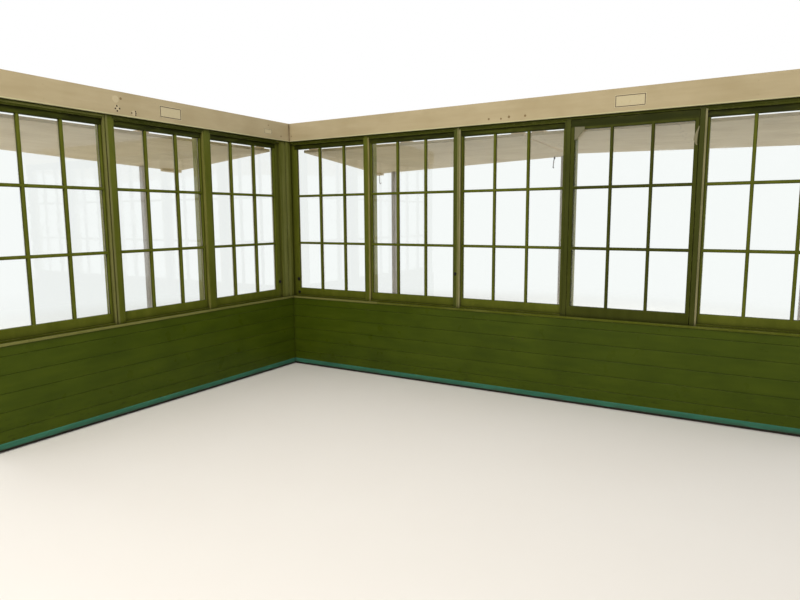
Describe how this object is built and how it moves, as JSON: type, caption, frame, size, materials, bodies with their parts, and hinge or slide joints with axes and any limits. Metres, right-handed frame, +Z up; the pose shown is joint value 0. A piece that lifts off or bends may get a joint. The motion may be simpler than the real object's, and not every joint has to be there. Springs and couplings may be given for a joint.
{
  "type": "lookout cab window wall corner",
  "caption": "Inside corner of a wooden lookout cab: two framed walls of small-paned sashes over painted boarding, with board shutters propped out level",
  "frame": {"origin": "on the deck under the corner post, where the middle planes of the two walls' studs cross", "axes": "+X along the back wall away from the corner, +Y out through the back wall, +Z up; the left wall runs along -Y"},
  "size_m": [5.473, 3.954, 2.138],
  "materials": {
    "window_green": "old satin olive green paint on planed pine",
    "dado_green": "leaf green gloss paint on tongue and groove boards",
    "base_teal": "teal paint, scuffed",
    "frieze_cream": "cream paint, matt",
    "outside_cream": "weathered cream paint on boards",
    "faded_green": "olive green paint, bleached outdoors",
    "bare_pine": "sawn pine, unpainted",
    "weathered_wood": "grey weathered pole, sawn square",
    "glass": "clear drawn window glass",
    "hinge_iron": "dull dark strap iron"
  },
  "bodies": {
    "root": {"corner_post": "window_green", "corner_jamb_back": "window_green", "corner_jamb_left": "window_green", "post_b1": "window_green", "post_b2": "window_green", "post_b3": "window_green", "post_b4": "window_green", "end_post_back": "window_green", "post_l1": "window_green", "post_l2": "window_green", "end_post_left": "window_green", "sash_b1": "window_green", "sash_b2": "window_green", "sash_b3": "window_green", "sash_b4": "window_green", "sash_b5": "window_green", "sash_l1": "window_green", "sash_l2": "window_green", "sash_l3": "window_green", "glass_back": "glass", "glass_left": "glass", "sole_plate_back": "bare_pine", "sole_plate_left": "bare_pine", "top_plates_back": "bare_pine", "top_plates_left": "bare_pine", "head_back": "window_green", "head_left": "window_green", "sill_back": "window_green", "sill_left": "window_green", "dado_back": "dado_green", "dado_left": "dado_green", "base_back": "base_teal", "base_left": "base_teal", "frieze_back": "frieze_cream", "frieze_left": "frieze_cream", "corner_board": "outside_cream", "casings_back": "faded_green", "casings_left": "faded_green", "head_board_back": "outside_cream", "head_board_left": "outside_cream", "siding_back": "outside_cream", "siding_left": "outside_cream", "shutter_b1": "outside_cream", "shutter_b2": "outside_cream", "shutter_l1": "outside_cream", "props_back": "weathered_wood", "props_left": "weathered_wood", "hinges": "hinge_iron"}
  },
  "joints": []
}
